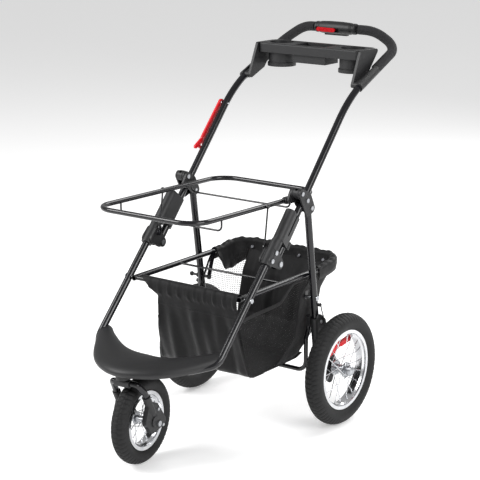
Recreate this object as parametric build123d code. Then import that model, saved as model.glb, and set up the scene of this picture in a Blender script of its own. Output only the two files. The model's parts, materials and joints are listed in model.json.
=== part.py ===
from build123d import *
import math
import os

# Three-wheeled folding pet stroller: painted steel tube frame, spoked wheels with
# pneumatic tyres, a seat ring that holds a carrier, and a cloth basket below it.
# Frame: origin on the ground under the middle of the whole part, +X to the side
# that carries no storage latch, -Y forwards, +Z up. All sizes in millimetres.

# ---- driving dimensions -------------------------------------------------------
AXLE_Y = 141.8            # rear axle, from the origin
REAR_WHEEL_R = 152.5
FRONT_WHEEL_R = 114.2
REAR_TYRE_W = 50.0
FRONT_TYRE_W = 44.0
REAR_TRACK = 246.0        # middle of a rear tyre, from the centre plane
CASTER_TRAIL = 73.0
CASTER_TURN = 5.2         # degrees that the front wheel stands turned

TUBE_R = 9.5
TUBE_WALL = 1.5
HANDLE_X = 189.4
LEG_X = 194.0
RAIL_X = 171.5
RAIL_R = 7.5
RING_X = 161.0
RING_R = 6.5
WIRE_R = 2.5
PIN_R = 4.0
PIN_BORE_R = 4.06

# ---- pivots in the side view, (y, z) -------------------------------------------
HINGE = (AXLE_Y - 85.0, 605.0)       # rear leg on the main hinge
CLAMP_RIVET = (AXLE_Y - 105.5, 628.5)   # hinge plates on the handle tube
RING_PIVOT = (AXLE_Y - 129.0, 650.0)
LEG_PIVOT = (AXLE_Y - 231.8, 487.0)  # front leg bracket on the handle tube
STRUT_LOW = (AXLE_Y - 251.5, 521.0)
STRUT_TOP = (AXLE_Y - 236.0, 633.0)
RAIL_FRONT = (AXLE_Y - 350.2, 417.0)
RAIL_REAR = (AXLE_Y - 28.0, 417.0)
LINK_LOW = (AXLE_Y - 49.0, 352.0)
LATCH_PIVOT = (AXLE_Y + 66.6, 821.5)

HANDLE_DIR = (0.6657, 0.7463)
LEG_DIR = (0.6882, 0.7255)
SLEEVE_SPLIT = 60.0       # height of the sleeve's lower face over the leg pivot


def along(start, direction, distance):
    """A side-view point that lies a distance from start along a direction."""
    return (start[0] + direction[0] * distance, start[1] + direction[1] * distance)


def at(x, point):
    """A side-view point put at a lateral place."""
    return (x, point[0], point[1])


def leg_at(z):
    """The side-view point of the front leg's axis at a height."""
    return (AXLE_Y - 252.5 + (z - 520.0) * LEG_DIR[0] / LEG_DIR[1], z)


def tube(points, radii, outer, wall=0.0):
    """A bent tube or rod along straight runs joined by tangent arcs."""
    if radii:
        path = FilletPolyline(*points, radius=radii)
    else:
        path = Line(points[0], points[1])
    start = Plane(origin=path @ 0, z_dir=path % 0)
    solid = sweep(start * Circle(outer), path=path)
    if wall:
        solid -= sweep(start * Circle(outer - wall), path=path)
    return solid


def lateral_rod(x_from, x_to, point, radius):
    """A round rod that runs sideways through a side-view point."""
    disc = Plane(origin=at(x_from, point), z_dir=(1, 0, 0)) * Circle(radius)
    return extrude(disc, x_to - x_from)


def side_plate(x_from, x_to, circles):
    """A flat plate in the side plane: the hull of circles given as (point, radius)."""
    outline = Sketch() + [Pos(point[0], point[1]) * Circle(radius) for point, radius in circles]
    plane = Plane(origin=(x_from, 0, 0), x_dir=(0, 1, 0), z_dir=(1, 0, 0))
    return extrude(plane * make_hull(outline.edges()), x_to - x_from)


def ring_about_x(x_from, x_to, point, outer, inner):
    """A washer or bush about a lateral axis."""
    return lateral_rod(x_from, x_to, point, outer) - lateral_rod(x_from, x_to, point, inner)


def mirrored(solid):
    """The same piece on the other side."""
    return mirror(solid, about=Plane.YZ)


def save(name, *solids):
    """Writes one node."""
    shapes = []
    for solid in solids:
        shapes.extend(solid.solids())
    whole = shapes[0] if len(shapes) == 1 else Compound(children=shapes)
    whole.label = name
    export_step(whole, "parts/" + name + ".step")


def save_pair(name, solid):
    """Writes a piece as its +X and -X nodes."""
    save(name + "_right", solid)
    save(name + "_left", mirrored(solid))


def save_both(name, *solids):
    """Writes pieces and their mirror images as one node."""
    save(name, *solids, *[mirrored(s) for s in solids])


# ---- rear frame: legs, lower stay, axle brackets, brakes -----------------------
LEG_SLOPE = (0.1409, -0.9900)
LEG_FOOT_Z = 222.0
AXLE = (AXLE_Y, REAR_WHEEL_R)
AXLE_R = 6.0
BRAKE_PIVOT = (AXLE_Y - 8.0, 189.0)


def rear_leg():
    top = along(HINGE, LEG_SLOPE, -12.0)
    foot = along(HINGE, LEG_SLOPE, (HINGE[1] - LEG_FOOT_Z) / -LEG_SLOPE[1])
    leg = tube([at(HANDLE_X, top), at(HANDLE_X, foot)], None, TUBE_R, TUBE_WALL)
    for point in (HINGE, LINK_LOW):
        leg -= lateral_rod(170, 210, point, PIN_BORE_R)
    return leg


STAY_X = 170.0
STAY_Y = AXLE_Y - 56.0


def rear_stay():
    """Dropped rod that ties the two rear legs together under the basket."""
    side = [
        (STAY_X, STAY_Y + 11, 300), (STAY_X, STAY_Y + 11, 262),
        (STAY_X, STAY_Y, 238), (STAY_X, STAY_Y, 147),
    ]
    points = side + [(-p[0], p[1], p[2]) for p in reversed(side)]
    return tube(points, [18, 18, 26, 26, 18, 18], 6.0)


def leg_envelope():
    top = along(HINGE, LEG_SLOPE, -12.0)
    foot = along(HINGE, LEG_SLOPE, (HINGE[1] - LEG_FOOT_Z) / -LEG_SLOPE[1])
    return tube([at(HANDLE_X, top), at(HANDLE_X, foot)], None, TUBE_R)


def axle_bracket():
    """Moulded foot of the rear leg: it grips the leg and carries the axle."""
    upper = along(HINGE, LEG_SLOPE, (HINGE[1] - 296.0) / -LEG_SLOPE[1])
    lower = along(HINGE, LEG_SLOPE, (HINGE[1] - 226.0) / -LEG_SLOPE[1])
    heel = (AXLE_Y - 22.0, 284.0)
    outer = side_plate(199.4, 205.0, [(upper, 11), (heel, 8), (lower, 15), (AXLE, 22)])
    socket = tube([at(HANDLE_X, upper), at(HANDLE_X, along(lower, LEG_SLOPE, 10))], None, 14.0)
    boss = lateral_rod(193.0, 205.0, AXLE, 17.0)
    neck = side_plate(185.0, 199.4, [(along(lower, LEG_SLOPE, 4), 12), (AXLE, 12)])
    lug = Pos(STAY_X + 5.0, STAY_Y + 13, 285) * Box(12.0, 24, 26)
    lug -= tube([(STAY_X, STAY_Y + 11, 301), (STAY_X, STAY_Y + 11, 262)], None, 6.0)
    whole = outer + socket + boss + neck + lug
    whole -= leg_envelope()
    whole -= lateral_rod(180, 210, AXLE, AXLE_R)
    return whole


def rear_axle():
    shaft = lateral_rod(184.0, 275.0, AXLE, AXLE_R)
    return shaft + lateral_rod(181.0, 185.0, AXLE, 10.0)


def brake_housing():
    """Drum-like cover round the axle, with ears that carry the pedal."""
    cover = side_plate(205.2, 210.0, [(AXLE, 33), (BRAKE_PIVOT, 13), ((AXLE_Y + 6, 116), 12)])
    drum = ring_about_x(210.0, 219.0, AXLE, 21.0, 14.0)
    for angle in range(200, 341, 28):
        place = (AXLE[0] + 26 * math.cos(math.radians(angle)), AXLE[1] + 26 * math.sin(math.radians(angle)))
        rib = side_plate(210.0, 216.0, [(place, 3.2), ((AXLE[0], AXLE[1] - 1), 14.5)])
        drum += rib - lateral_rod(209, 220, AXLE, 14.0)
    return cover + drum - lateral_rod(200, 225, AXLE, AXLE_R) - lateral_rod(200, 225, BRAKE_PIVOT, PIN_R)


def brake_pedal():
    """Foot pedal: a flat arm that rises rearwards to a broad tread."""
    tip = (AXLE_Y + 92.0, 212.0)
    heel = (AXLE_Y + 44.0, 205.0)
    arm = side_plate(210.6, 214.6, [(BRAKE_PIVOT, 10), (heel, 8)])
    tread = side_plate(210.6, 219.6, [(heel, 7), (tip, 7)])
    pawl = side_plate(210.6, 214.6, [(BRAKE_PIVOT, 8), ((AXLE_Y + 16, 188), 4)])
    return arm + tread + pawl - lateral_rod(205, 225, BRAKE_PIVOT, PIN_BORE_R)


def brake_rod():
    """Bent wire rod from its clip on the leg down to the brake."""
    points = [
        (207.2, AXLE_Y - 45, 340), (207.2, AXLE_Y - 38, 318),
        (208.2, AXLE_Y - 14, 262), (207.5, AXLE_Y - 8.5, 202.4),
    ]
    return tube(points, [40, 60], 1.5)


def rod_clip():
    return lateral_rod(198.9, 208.0, (AXLE_Y - 44.0, 334.0), 4.5) - brake_rod()


# ---- wheels ---------------------------------------------------------------------
def profile_ring(points, plane_x):
    """A ring turned about a lateral axis from (x, r) outline points."""
    outline = Polyline(*[(x, r) for x, r in points], close=True)
    face = make_face(outline)
    turned = revolve(face, axis=Axis.X)
    return Pos(plane_x, 0, 0) * turned


def tyre(radius, width, seat_r):
    """Tyre in its own frame, axle on X: round-shouldered, seated on the rim."""
    half = width / 2
    crown = Pos(0, radius - half * 0.96) * Ellipse(half, half * 0.96)
    block = Pos(0, radius - half * 0.96 - 20) * Rectangle(width * 0.78, 40)
    section = crown + block
    section -= Pos(0, seat_r / 2) * Rectangle(width * 2, seat_r)
    cavity = Pos(0, radius - half * 0.96) * Circle(half * 0.66)
    section -= cavity
    return revolve(section, axis=Axis.X)


def rim(lip_r, width):
    """Rolled steel rim: two lips and a sunken spoke bed."""
    half = width / 2
    bed = lip_r - 13.0
    points = [
        (-half, lip_r), (-half, lip_r - 9), (-half + 5, lip_r - 10), (-half + 9, bed - 1.6),
        (half - 9, bed - 1.6),
        (half - 5, lip_r - 10), (half, lip_r - 9), (half, lip_r), (half - 1.8, lip_r),
        (half - 2.4, lip_r - 7),
        (half - 6.5, lip_r - 8), (half - 10.5, bed), (-half + 10.5, bed), (-half + 6.5, lip_r - 8),
        (-half + 2.4, lip_r - 7), (-half + 1.8, lip_r),
    ]
    return profile_ring(points, 0)


def hub(half_length, flange_x, flange_r, barrel_r, bore_r):
    barrel = lateral_rod(-half_length, half_length, (0, 0), barrel_r)
    for x in (-flange_x, flange_x):
        barrel += lateral_rod(x - 1.5, x + 1.5, (0, 0), flange_r)
    return barrel - lateral_rod(-half_length - 1, half_length + 1, (0, 0), bore_r)


def spokes(count, flange_x, flange_r, bed_r, radius):
    """Laced wire spokes: each leaves its flange tangentially and meets the rim bed."""
    rods = []
    for index in range(count):
        side = 1 if index % 2 == 0 else -1
        lace = 1 if index % 4 < 2 else -1
        rim_angle = math.radians(360.0 / count * index)
        hub_angle = rim_angle + lace * math.radians(58)
        hub_x = side * (flange_x + 4.2 * (1 if lace > 0 else -1))
        inner = Vector(hub_x, flange_r * math.cos(hub_angle), flange_r * math.sin(hub_angle))
        outer = Vector(side * 1.5, bed_r * math.cos(rim_angle), bed_r * math.sin(rim_angle))
        line = outer - inner
        rods.append(extrude(Plane(origin=inner, z_dir=line) * Circle(radius), line.length))
    return rods


def nipples(count, bed_r):
    """Spoke nipples that stand in from the rim bed."""
    rods = []
    for index in range(count):
        side = 1 if index % 2 == 0 else -1
        angle = math.radians(360.0 / count * index)
        outward = Vector(0, math.cos(angle), math.sin(angle))
        foot = outward * (bed_r - 8.5) + Vector(side * 1.5, 0, 0)
        rods.append(extrude(Plane(origin=foot, z_dir=outward) * Circle(1.9), 8.4))
    return rods


def place_rear(solid):
    return Pos(REAR_TRACK, AXLE[0], AXLE[1]) * solid


def hub_cap():
    """Turned dust cap over the axle's end."""
    cap = revolve(
        make_face(Polyline(
            (26.2, 0), (26.2, 15), (31, 15), (36, 11.5), (39, 6), (40, 0), close=True)), axis=Axis.X
    )
    return cap - lateral_rod(26.0, 33.0, (0, 0), 10.0)


def build_rear_wheel():
    lip = 109.0
    bed = lip - 14.6
    count = 20
    parts = {
        "rear_tyre": tyre(REAR_WHEEL_R, REAR_TYRE_W, lip + 0.1),
        "rear_rim": rim(lip, 34.2),
    }
    for name, solid in parts.items():
        save_pair(name, place_rear(solid))
    turning = [place_rear(hub(26.0, 16.0, 21.0, 11.0, AXLE_R + 0.06)), place_rear(hub_cap())]
    save("rear_hub_right", *turning)
    save("rear_hub_left", *[mirrored(s) for s in turning])
    rods = [place_rear(s) for s in spokes(count, 16.0, 18.0, bed - 8.6, 1.1) + nipples(count, bed)]
    save("rear_spokes_right", *rods)
    save("rear_spokes_left", *[mirrored(s) for s in rods])


# ---- handle frame ----------------------------------------------------------------
ARM_START = (AXLE_Y + 111.1, 871.4)
GRIP_START = (187.5, AXLE_Y + 243.0, 928.2)
BAR_CORNER = (186.0, AXLE_Y + 352.0, 975.0)
BAR_SHOULDER = (118.0, AXLE_Y + 350.0, 1016.0)
BAR_MIDDLE = (50.0, AXLE_Y + 335.0, 1018.6)
HOUSING_HALF = 67.0


def handle_path_points():
    foot = along(LEG_PIVOT, HANDLE_DIR, -12.0)
    side = [at(HANDLE_X, foot), at(HANDLE_X, ARM_START), BAR_CORNER, BAR_SHOULDER, BAR_MIDDLE]
    return side + [(-p[0], p[1], p[2]) for p in reversed(side)]


HANDLE_RADII = [340, 45, 110, 120, 120, 110, 45, 340]


def handle_envelope(radius):
    return tube(handle_path_points(), HANDLE_RADII, radius)


def handle_tube():
    bar = tube(handle_path_points(), HANDLE_RADII, TUBE_R, TUBE_WALL)
    for point in (LEG_PIVOT,):
        bar -= lateral_rod(170, 210, point, PIN_BORE_R)
        bar -= lateral_rod(-210, -170, point, PIN_BORE_R)
    bar -= lateral_rod(170, 210, CLAMP_RIVET, PIN_R)
    bar -= lateral_rod(-210, -170, CLAMP_RIVET, PIN_R)
    bar -= lateral_rod(-210, -170, LATCH_PIVOT, 3.0)
    return bar


def grip():
    """Foam sleeve over the bent arm, from the console clamp to the housing."""
    span = (BAR_SHOULDER[0] - HOUSING_HALF - 4.0) / (BAR_SHOULDER[0] - BAR_MIDDLE[0])
    end = tuple(a + (b - a) * span for a, b in zip(BAR_SHOULDER, BAR_MIDDLE))
    path = FilletPolyline(GRIP_START, BAR_CORNER, BAR_SHOULDER, end, radius=[45, 110])
    start = Plane(origin=path @ 0, z_dir=path % 0)
    return sweep(start * Circle(13.4), path=path) - sweep(start * Circle(TUBE_R), path=path)


def release_housing():
    """Barrel on the middle of the bar, with ribbed ends and a slot for the button."""
    stations = [
        (-67, 14.2), (-64, 15.6), (-60, 15.6), (-58.5, 14.6), (-56, 14.6), (-48, 16.6), (-20, 18.0),
        (20, 18.0), (48, 16.6), (54, 15.0), (55.5, 14.6), (57, 15.6), (59, 15.6), (60, 14.6),
        (61.5, 15.6), (64, 15.6), (67, 14.2),
    ]
    outline = Polyline(*[(-67, 0)] + stations + [(67, 0)], close=True)
    barrel = Pos(0, BAR_MIDDLE[1], BAR_MIDDLE[2]) * revolve(make_face(outline), axis=Axis.X)
    barrel -= handle_envelope(TUBE_R)
    barrel -= button_place() * Box(78.0, 12.0, 12.6)
    barrel -= Pos(-2.0, BAR_MIDDLE[1] + 4.0, BAR_MIDDLE[2] - 15.2) * Box(74.0, 16.4, 7.0)
    return barrel


def button_place():
    """Seat of the sliding button on the barrel's front lower face."""
    return Pos(-22.0, BAR_MIDDLE[1], BAR_MIDDLE[2]) * Rot(X=18) * Pos(0, -16.0, 0)


def release_button():
    """Sliding safety button with four finger ribs."""
    body = Pos(0, -1.2, 0) * Box(60.0, 6.4, 11.6)
    body = fillet(body.edges().filter_by(Axis.Y), 5.6)
    for x in (-20, -7, 7, 20):
        body += Pos(x, -4.6, 0) * Box(3.0, 1.2, 8.0)
    return button_place() * Pos(-5.0, 1.4, 0) * body


def release_trigger():
    """Squeeze bar under the barrel that pulls both release cables."""
    body = Pos(-2.0, BAR_MIDDLE[1] + 4.0, BAR_MIDDLE[2] - 18.4) * Box(72.0, 15.0, 6.0)
    return fillet(body.edges().filter_by(Axis.X), 2.4)


def hinge_plate_inner():
    plate = side_plate(175.4, 179.6, [(HINGE, 13), (CLAMP_RIVET, 20), (RING_PIVOT, 13)])
    for point in (HINGE, CLAMP_RIVET, RING_PIVOT):
        plate -= lateral_rod(170, 182, point, PIN_R)
    return plate


def hinge_plate_outer():
    tip = (AXLE_Y - 104.0, 592.0)
    plate = side_plate(199.3, 203.6, [(HINGE, 13), (CLAMP_RIVET, 21), (RING_PIVOT, 13), (tip, 7)])
    for point in (HINGE, CLAMP_RIVET, RING_PIVOT):
        plate -= lateral_rod(195, 210, point, PIN_R)
    return plate


def hinge_drum():
    """Rounded spacer between the plates, with an open socket for the carrier's peg."""
    drum = lateral_rod(179.7, 199.2, RING_PIVOT, 14.0)
    drum = fillet(drum.edges().filter_by(GeomType.CIRCLE), 3.0)
    socket = Plane(origin=at(189.4, along(RING_PIVOT, (-0.55, 0.835), 7.0)), z_dir=(0, -0.55, 0.835))
    drum -= extrude(socket * Circle(4.2), 12)
    return drum - lateral_rod(170, 210, RING_PIVOT, PIN_R)


def hinge_pins():
    """Rivets of one hinge: ring pivot, tube clamp and rear-leg pivot."""
    pins = []
    for point, inner in ((RING_PIVOT, 166.8), (CLAMP_RIVET, 175.4), (HINGE, 175.4)):
        pin = lateral_rod(inner, 203.6, point, PIN_R)
        pin += lateral_rod(203.6, 205.6, point, 6.0)
        pins.append(pin)
    pins[0] += lateral_rod(166.8, 168.0, RING_PIVOT, 6.0)
    return pins


def console_arm():
    """Web that drops from one end of the tray to the clamp on the handle."""
    top_front = (AXLE_Y + 192.0, 975.0)
    top_rear = (AXLE_Y + 268.0, 974.0)
    foot_front = (AXLE_Y + 158.0, 893.0)
    foot_rear = (AXLE_Y + 214.0, 915.0)
    web = side_plate(166.0, 173.5, [(top_front, 6), (top_rear, 6), (foot_front, 8), (foot_rear, 8)])
    web += side_plate(173.4, 188.0, [(foot_front, 9), (foot_rear, 9)])
    return web - handle_envelope(TUBE_R)


def console_clamp():
    """Sleeve that grips the handle arm under the console."""
    start = (AXLE_Y + 151.0, 888.6)
    end = (AXLE_Y + 241.5, 927.5)
    sleeve = tube([at(188.8, start), at(187.5, end)], None, 13.6)
    sleeve -= handle_envelope(TUBE_R)
    return sleeve - Pos(170.0, AXLE_Y + 200, 910) * Box(36.1, 160, 120)


CUP_X = 118.0
CUP_Y = AXLE_Y + 236.0
CUP_R = 40.0
TRAY_TOP = 981.0


def console_tray():
    """Parent tray: two cup wells and a middle pocket in a flanged deck."""
    outline = Pos(0, AXLE_Y + 234.0) * RectangleRounded(340.0, 92.0, 18.0)
    deck = extrude(Plane.XY.offset(TRAY_TOP - 26.0) * outline, 26.0)
    deck = fillet(deck.edges().group_by(Axis.Z)[-1], 4.0)
    inner = Pos(0, AXLE_Y + 234.0) * RectangleRounded(334.0, 86.0, 15.0)
    deck -= extrude(Plane.XY.offset(TRAY_TOP - 27.0) * inner, 24.0)
    pocket = Pos(0, AXLE_Y + 230.0, TRAY_TOP - 26.0) * Box(104.0, 66.0, 46.0)
    pocket_room = Pos(0, AXLE_Y + 230.0, TRAY_TOP - 21.0) * Box(98.0, 60.0, 50.0)
    wells = Part()
    rooms = Part()
    for x in (-CUP_X, CUP_X):
        wells += Pos(x, CUP_Y, TRAY_TOP - 33.0) * Cylinder(CUP_R - 3.0, 62.0)
        wells += Pos(x, CUP_Y, TRAY_TOP - 61.0) * Cylinder(CUP_R, 10.0)
        rooms += Pos(x, CUP_Y, TRAY_TOP - 30.0) * Cylinder(CUP_R - 5.5, 66.0)
    tray = deck + pocket + wells
    tray -= pocket_room
    tray -= rooms
    return tray


def build_console():
    arm = console_arm()
    save("console_tray", console_tray() + arm + mirrored(arm))
    save_both("console_clamps", console_clamp())


def sleeve_section(extra):
    """Section of the release sleeve across the tubes: hull of two circles."""
    start = along(LEG_PIVOT, HANDLE_DIR, SLEEVE_SPLIT + extra)
    return Plane(origin=at(HANDLE_X, start), x_dir=(1, 0, 0), z_dir=(0, HANDLE_DIR[0], HANDLE_DIR[1]))


SLEEVE_GAP = 33.6         # handle axis to leg axis, across the tubes
SLEEVE_LENGTH = 89.0


def fold_sleeve():
    """Sliding lock sleeve: it rides on the handle tube and caps the front leg."""
    plane = sleeve_section(-11.5)
    front = Pos(LEG_X - HANDLE_X, -SLEEVE_GAP) * Circle(14.6)
    rear = Circle(12.6)
    hull = make_hull((Sketch() + [front, rear]).edges())
    body = extrude(plane * hull, SLEEVE_LENGTH)
    body = fillet(body.edges().group_by(Axis.Z)[-1], 3.0)
    body -= extrude(plane.offset(-1) * Circle(TUBE_R + 0.1), SLEEVE_LENGTH + 2)
    groove = Pos(LEG_X - HANDLE_X + 12.5, -16.0) * Rectangle(14.0, 7.0)
    body -= extrude(plane.offset(26) * groove, SLEEVE_LENGTH)
    tab = Pos(3.0, 14.0) * RectangleRounded(16.0, 8.0, 3.0)
    body += extrude(plane * tab, 22.0) - extrude(plane.offset(-1) * Circle(TUBE_R + 0.1), 40)
    return body


# ---- storage latch: red hook on one handle arm, ball knob on the leg below it --------
LATCH_REACH = 138.8
LATCH_REST = 228.3        # direction of the hook from its pivot, degrees in the side view


def latch_point(reach, angle):
    turn = math.radians(angle)
    return (LATCH_PIVOT[0] + reach * math.cos(turn), LATCH_PIVOT[1] + reach * math.sin(turn))


def storage_latch():
    notch = latch_point(LATCH_REACH, LATCH_REST)
    mouth = along(notch, (-math.sin(math.radians(LATCH_REST)), math.cos(math.radians(LATCH_REST))), 18.0)
    arm = side_plate(-208.0, -203.0, [(LATCH_PIVOT, 11), (latch_point(122, LATCH_REST - 2), 8.5)])
    arm += side_plate(-208.0, -203.0, [(latch_point(112, LATCH_REST), 9), (notch, 12)])
    tip = [(latch_point(118, LATCH_REST), 9), (latch_point(158, LATCH_REST - 6), 5)]
    arm += side_plate(-208.0, -203.0, tip)
    arm += side_plate(-211.0, -208.0, [(latch_point(20, LATCH_REST), 4), (latch_point(110, LATCH_REST), 4)])
    arm -= side_plate(-212.0, -202.0, [(notch, 3.8), (mouth, 4.4)])
    return arm - lateral_rod(-212, -200, LATCH_PIVOT, 3.06)


def latch_pin():
    pin = lateral_rod(-210.0, -178.0, LATCH_PIVOT, 3.0)
    pin += lateral_rod(-212.4, -208.2, LATCH_PIVOT, 6.5)
    pin += lateral_rod(-202.7, -199.0, LATCH_PIVOT, 7.0)
    return pin


def storage_knob():
    """Link pivot on the latch side, drawn out into a neck and a ball."""
    pin = lateral_rod(-198.9, -159.5, LINK_LOW, PIN_R)
    pin += lateral_rod(-160.2, -158.4, LINK_LOW, 7.0)
    pin += lateral_rod(-201.2, -198.9, LINK_LOW, 7.0)
    pin += lateral_rod(-218.0, -201.0, LINK_LOW, 3.5)
    return pin + Pos(-222.0, LINK_LOW[0], LINK_LOW[1]) * Sphere(6.5)


def link_rivet():
    pin = lateral_rod(159.5, 198.9, LINK_LOW, PIN_R)
    pin += lateral_rod(158.4, 160.2, LINK_LOW, 7.0)
    return pin + lateral_rod(198.9, 201.2, LINK_LOW, 7.0)


def bracket_rivets():
    heads = []
    for point in ((AXLE_Y - 36.0, 286.0), (AXLE_Y - 36.0, 252.0)):
        heads.append(fillet(lateral_rod(205.0, 206.8, point, 5.0).edges().group_by(Axis.X)[-1], 1.2))
    return heads


# ---- front leg frame ----------------------------------------------------------------
def front_leg_points():
    """The leg drops straight to its knee, then curls in under the nose to the other side."""
    side = [
        at(LEG_X, leg_at(546.0)), at(LEG_X, leg_at(283.0)),
        (150, AXLE_Y - 522, 272), (80, AXLE_Y - 578, 266),
    ]
    return side + [(-p[0], p[1], p[2]) for p in reversed(side)]


FRONT_LEG_RADII = [45, 120, 90, 90, 120, 45]


def front_leg_envelope():
    return tube(front_leg_points(), FRONT_LEG_RADII, TUBE_R)


def front_leg_tube():
    leg = tube(front_leg_points(), FRONT_LEG_RADII, TUBE_R, TUBE_WALL)
    leg -= lateral_rod(180, 210, RAIL_FRONT, 3.0)
    leg -= lateral_rod(-210, -180, RAIL_FRONT, 3.0)
    return leg


def leg_bracket():
    """Two plates and a moulded socket that join the front leg to its pivot."""
    low = leg_at(503.0)
    top = leg_at(546.2)
    spots = [(LEG_PIVOT, 13), (STRUT_LOW, 11), (low, 13)]
    bracket = side_plate(175.5, 179.5, spots) + side_plate(204.0, 208.0, spots)
    bracket += tube([at(LEG_X, leg_at(492.0)), at(LEG_X, top)], None, 14.8)
    bracket += side_plate(179.4, 204.1, [(low, 11), (STRUT_LOW, 10)])
    bracket -= tube([at(LEG_X, leg_at(480.0)), at(LEG_X, leg_at(560.0))], None, TUBE_R)
    return bracket - lateral_rod(170, 210, LEG_PIVOT, PIN_R)


def leg_bracket_pins():
    """Leg pivot through the handle tube with its washer, and two plain rivets."""
    pivot = lateral_rod(174.3, 208.0, LEG_PIVOT, PIN_R)
    pivot += lateral_rod(173.6, 175.5, LEG_PIVOT, 7.0)
    pivot += lateral_rod(208.0, 210.2, LEG_PIVOT, 7.0)
    pivot += lateral_rod(199.2, 203.9, LEG_PIVOT, 7.5)
    pins = [pivot]
    for point in (STRUT_LOW, leg_at(503.0)):
        pins.append(lateral_rod(208.8, 210.6, point, 6.0))
    pins.append(lateral_rod(174.0, 175.5, STRUT_LOW, 6.0))
    return pins


def rail_rivet():
    pin = lateral_rod(183.6, 204.6, RAIL_FRONT, 3.0)
    return pin + lateral_rod(203.6, 205.4, RAIL_FRONT, 6.0)


KINGPIN_Y = AXLE_Y - 606.5
NOSE_STATIONS = (         # x, y from the axle, z, heading in degrees, half depth, half height
    (0.0, -568.0, 267.0, 0.0, 72.0, 24.0),
    (59.5, -556.6, 268.5, 20.0, 60.0, 23.5),
    (116.0, -524.0, 274.0, 35.0, 42.0, 22.0),
    (152.7, -491.0, 282.0, 48.0, 30.0, 19.5),
    (179.0, -464.0, 289.5, 60.0, 22.0, 17.0),
    (190.0, -448.6, 293.5, 68.0, 17.5, 15.0),
)


def nose_body(drop, thinner, taller):
    """Crescent lofted through ellipses that follow the nose from side to side."""
    right = [(x, y, z, turn, a, b) for x, y, z, turn, a, b in NOSE_STATIONS]
    left = [(-x, y, z, -turn, a, b) for x, y, z, turn, a, b in reversed(right[1:])]
    sections = []
    for x, y, z, turn, a, b in left + right:
        across = math.radians(turn)
        plane = Plane(origin=(x, AXLE_Y + y, z - drop), x_dir=(math.sin(across), -math.cos(across), 0),
                      z_dir=(math.cos(across), math.sin(across), 0))
        sections.append(plane * Ellipse(a - thinner, b + taller))
    return loft(sections)


def nose_cap():
    """Moulded crescent over the curl of the leg tube, open underneath."""
    shell = nose_body(0.0, 0.0, 0.0)
    room = nose_body(14.0, 5.0, 8.5)
    boss = Pos(0, KINGPIN_Y, 264.0) * Cylinder(19.0, 38.0)
    boss += Pos(0, KINGPIN_Y + 12, 272.0) * Box(110.0, 30.0, 22.0)
    shell -= room
    shell += boss & nose_body(0.0, 0.5, -0.5) + Pos(0, KINGPIN_Y, 252.0) * Cylinder(19.0, 14.0)
    shell -= front_leg_envelope()
    shell -= Pos(0, KINGPIN_Y, 255) * Cylinder(6.06, 40)
    return max(shell.solids(), key=lambda solid: solid.volume)


def nose_bolt():
    """Cap screw that draws the moulding up against the tube."""
    return Pos(38.0, KINGPIN_Y + 6, 259.0) * Cylinder(5.0, 4.0)


# ---- front caster ----------------------------------------------------------------------
FRONT_AXLE = (KINGPIN_Y + CASTER_TRAIL, FRONT_WHEEL_R)
FORK_X = 45.0
FORK_TUBE_R = 8.0


def turned(solid):
    """Swing a straight-ahead caster piece to its parked angle."""
    return Pos(0, KINGPIN_Y, 0) * Rot(Z=CASTER_TURN) * Pos(0, -KINGPIN_Y, 0) * solid


def fork_points():
    return [(8.0, KINGPIN_Y, 234.0), (36.0, KINGPIN_Y + 4, 233.0), (FORK_X, KINGPIN_Y + 26, 208.0),
            (FORK_X, KINGPIN_Y + 60, 138.0)]


def fork_tube():
    points = fork_points()
    points[0] = (22.6, KINGPIN_Y + 2, 233.6)
    return tube(points, [12, 40], FORK_TUBE_R, 1.5)


def fork_crown():
    crown = Pos(0, KINGPIN_Y, 234.0) * Box(43.0, 22.0, 19.0)
    crown = fillet(crown.edges().filter_by(Axis.X), 7.0)
    collar = Pos(0, KINGPIN_Y, 243.6) * Cylinder(15.0, 2.0)
    return crown + collar - Pos(0, KINGPIN_Y, 240) * Cylinder(6.0, 14.0)


def kingpin():
    return Pos(0, KINGPIN_Y, 248.5) * Cylinder(6.0, 30.0)


def fork_boot():
    """Moulded end of the fork that takes the tube and the wheel axle."""
    spots = [((KINGPIN_Y + 46, 162), 12), ((KINGPIN_Y + 66, 158), 12), ((KINGPIN_Y + 96, 114), 13),
             ((KINGPIN_Y + 54, 104), 12), ((KINGPIN_Y + 34, 130), 12)]
    boot = side_plate(FORK_X - 7.0, FORK_X + 6.0, spots)
    boot += lateral_rod(FORK_X + 5.0, FORK_X + 9.0, (KINGPIN_Y + 62, 122), 15.0)
    boot += tube([(FORK_X, KINGPIN_Y + 32, 195.3), (FORK_X, KINGPIN_Y + 58, 142)], None, 10.6)
    boot -= tube(fork_points(), [22, 40], FORK_TUBE_R)
    return boot - lateral_rod(30, 60, FRONT_AXLE, 5.0)


def front_axle():
    shaft = lateral_rod(-55.0, 55.0, FRONT_AXLE, 5.0)
    for x_from, x_to in ((54.0, 58.0), (-58.0, -54.0)):
        shaft += lateral_rod(x_from, x_to, FRONT_AXLE, 7.5)
    for x_from, x_to in ((26.5, 38.0), (-38.0, -26.5)):
        shaft += lateral_rod(x_from, x_to, FRONT_AXLE, 7.5)
    return shaft


def boot_bolts():
    bolts = []
    for point in ((KINGPIN_Y + 76, 151.0), (KINGPIN_Y + 96, 103.5)):
        bolts.append(fillet(lateral_rod(51.0, 53.4, point, 4.2).edges().group_by(Axis.X)[-1], 1.0))
    return bolts


def place_front(solid):
    return turned(Pos(0, FRONT_AXLE[0], FRONT_AXLE[1]) * solid)


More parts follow.
